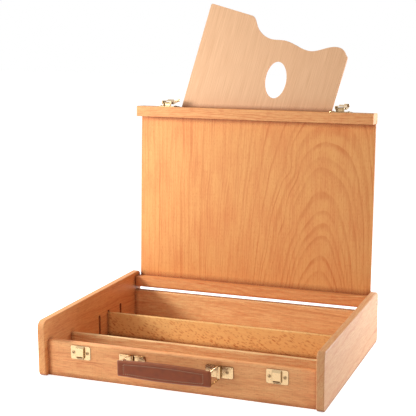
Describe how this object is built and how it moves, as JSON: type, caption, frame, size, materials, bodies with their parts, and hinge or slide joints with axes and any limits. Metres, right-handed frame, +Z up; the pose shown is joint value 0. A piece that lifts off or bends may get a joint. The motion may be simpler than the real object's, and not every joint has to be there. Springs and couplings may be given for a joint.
{
  "type": "pochade box",
  "caption": "Wooden sketch box with a hinged easel lid, divided tray, palette in the lid's slot, draw latches and a folding leather-wrapped carry handle.",
  "frame": {"origin": "middle of the underside of the bottom panel", "axes": "+X to the right along the front, +Y from the handle to the lid's pivots, +Z up"},
  "size_m": [0.404, 0.3714, 0.5031],
  "materials": {
    "beech": "satin lacquered beech",
    "panel_ply": "satin lacquered plywood",
    "divider_beech": "satin beech with ray fleck",
    "palette_ply": "satin lacquered plywood",
    "brass": "polished brass plate",
    "grip_leather": "dark brown leather with tan stitching"
  },
  "bodies": {
    "base": {"side_left": "beech", "side_right": "beech", "front_rail": "beech", "back_rail": "beech", "bottom_panel": "panel_ply", "front_ledge": "beech", "catch_plate_left": "brass", "catch_plate_right": "brass", "catch_screws": "brass", "handle_bracket_left": "brass", "handle_bracket_right": "brass", "bracket_screws": "brass"},
    "divider": {"divider": "divider_beech"},
    "lid": {"lid_panel": "panel_ply", "lid_front_rail": "beech", "lid_rear_rail": "beech", "pivot_screw_left": "brass", "pivot_screw_right": "brass", "latch_base_left": "brass", "latch_base_right": "brass", "latch_screws": "brass"},
    "palette": {"palette": "palette_ply"},
    "ring_left": {"handle_ring_left": "brass"},
    "grip": {"handle_grip": "grip_leather"},
    "ring_right": {"handle_ring_right": "brass"},
    "lever_left": {"latch_lever_left": "brass", "lever_pin_left": "brass", "hook_pin_left": "brass"},
    "hook_left": {"latch_hook_left": "brass"},
    "lever_right": {"latch_lever_right": "brass", "lever_pin_right": "brass", "hook_pin_right": "brass"},
    "hook_right": {"latch_hook_right": "brass"}
  },
  "joints": [
    {"name": "lid_hinge", "type": "hinge", "parent": "base", "child": "lid", "pos_m": [0, 0.142, 0.0626], "axis": [-1, 0, 0], "range_deg": [-93.5, 60]},
    {"name": "divider_shift", "type": "slide", "parent": "base", "child": "divider", "axis": [1, 0, 0], "range_m": [-0.0018, 0.0018]},
    {"name": "palette_slide", "type": "slide", "parent": "lid", "child": "palette", "axis": [0.2689, 0.0588, 0.9614], "range_m": [0, 0.285]},
    {"name": "lever_left_turn", "type": "hinge", "parent": "lid", "child": "lever_left", "pos_m": [-0.1415, 0.1544, 0.35058], "axis": [1, 0, 0], "range_deg": [0, 90]},
    {"name": "hook_left_turn", "type": "hinge", "parent": "lever_left", "child": "hook_left", "pos_m": [-0.1415, 0.16035, 0.34952], "axis": [-1, 0, 0], "range_deg": [-178, 0]},
    {"name": "lever_right_turn", "type": "hinge", "parent": "lid", "child": "lever_right", "pos_m": [0.138, 0.1544, 0.35058], "axis": [1, 0, 0], "range_deg": [0, 90]},
    {"name": "hook_right_turn", "type": "hinge", "parent": "lever_right", "child": "hook_right", "pos_m": [0.138, 0.16035, 0.34952], "axis": [-1, 0, 0], "range_deg": [-178, 0]},
    {"name": "ring_left_swing", "type": "hinge", "parent": "base", "child": "ring_left", "pos_m": [-0.0645, -0.1435, 0.0346], "axis": [0, 0, 1], "range_deg": [-60, 70]},
    {"name": "grip_swing", "type": "hinge", "parent": "ring_left", "child": "grip", "pos_m": [-0.06694, -0.17139, 0.0346], "axis": [0, 0, 1], "range_deg": [-70, 60]},
    {"name": "ring_right_swing", "type": "hinge", "parent": "base", "child": "ring_right", "pos_m": [0.0597, -0.1435, 0.0346], "axis": [0, 0, 1], "range_deg": [-60, 70]}
  ],
  "couplings": [
    {"joint": "grip_swing", "follows": "ring_left_swing", "ratio": -1},
    {"joint": "ring_right_swing", "follows": "ring_left_swing", "ratio": 1}
  ]
}
